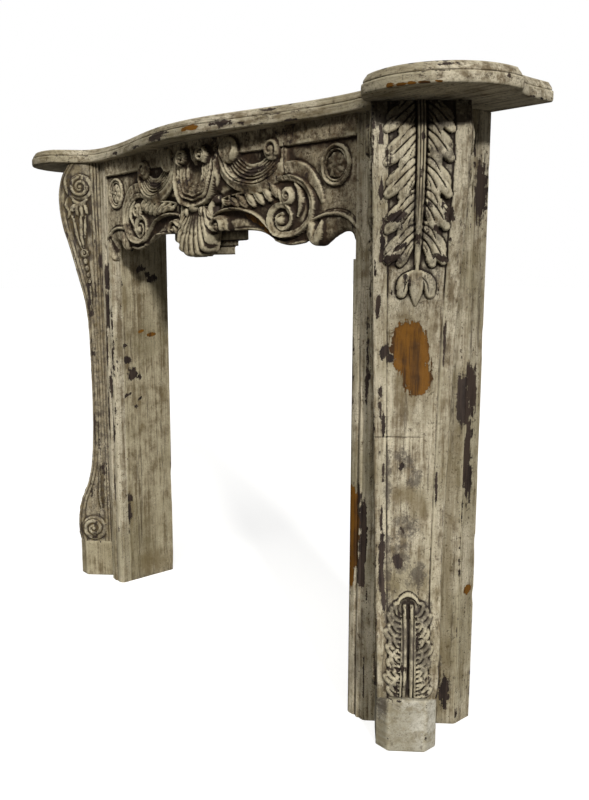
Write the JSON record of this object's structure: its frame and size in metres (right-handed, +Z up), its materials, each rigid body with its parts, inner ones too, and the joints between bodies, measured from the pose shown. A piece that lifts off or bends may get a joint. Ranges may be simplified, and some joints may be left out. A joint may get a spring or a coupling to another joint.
{
  "type": "fireplace mantelpiece",
  "caption": "Carved and painted wooden fireplace mantelpiece with a serpentine shelf, a carved frieze and scrolled consoles set at an angle.",
  "frame": {"origin": "on the floor, under the middle of the bounding box", "axes": "+X along the shelf to the right as seen from the front, +Y back to the wall, +Z up"},
  "size_m": [1.446, 0.267, 1.11],
  "materials": {
    "shelf_paint": "distressed cream paint over wood, chipped along the edge",
    "carved_paint": "distressed cream paint with dark glaze in the hollows of the carving",
    "board_paint": "distressed cream and grey paint with brown bare patches",
    "plinth_paint": "pale brushed paint with grey stains"
  },
  "bodies": {
    "root": {"shelf": "shelf_paint", "frieze": "carved_paint", "left_stile": "board_paint", "left_reveal_board": "board_paint", "left_cant_board": "board_paint", "left_side_board": "board_paint", "left_console": "carved_paint", "left_plinth_block": "plinth_paint", "right_stile": "board_paint", "right_reveal_board": "board_paint", "right_cant_board": "board_paint", "right_side_board": "board_paint", "right_console": "carved_paint", "right_plinth_block": "plinth_paint"}
  },
  "joints": []
}
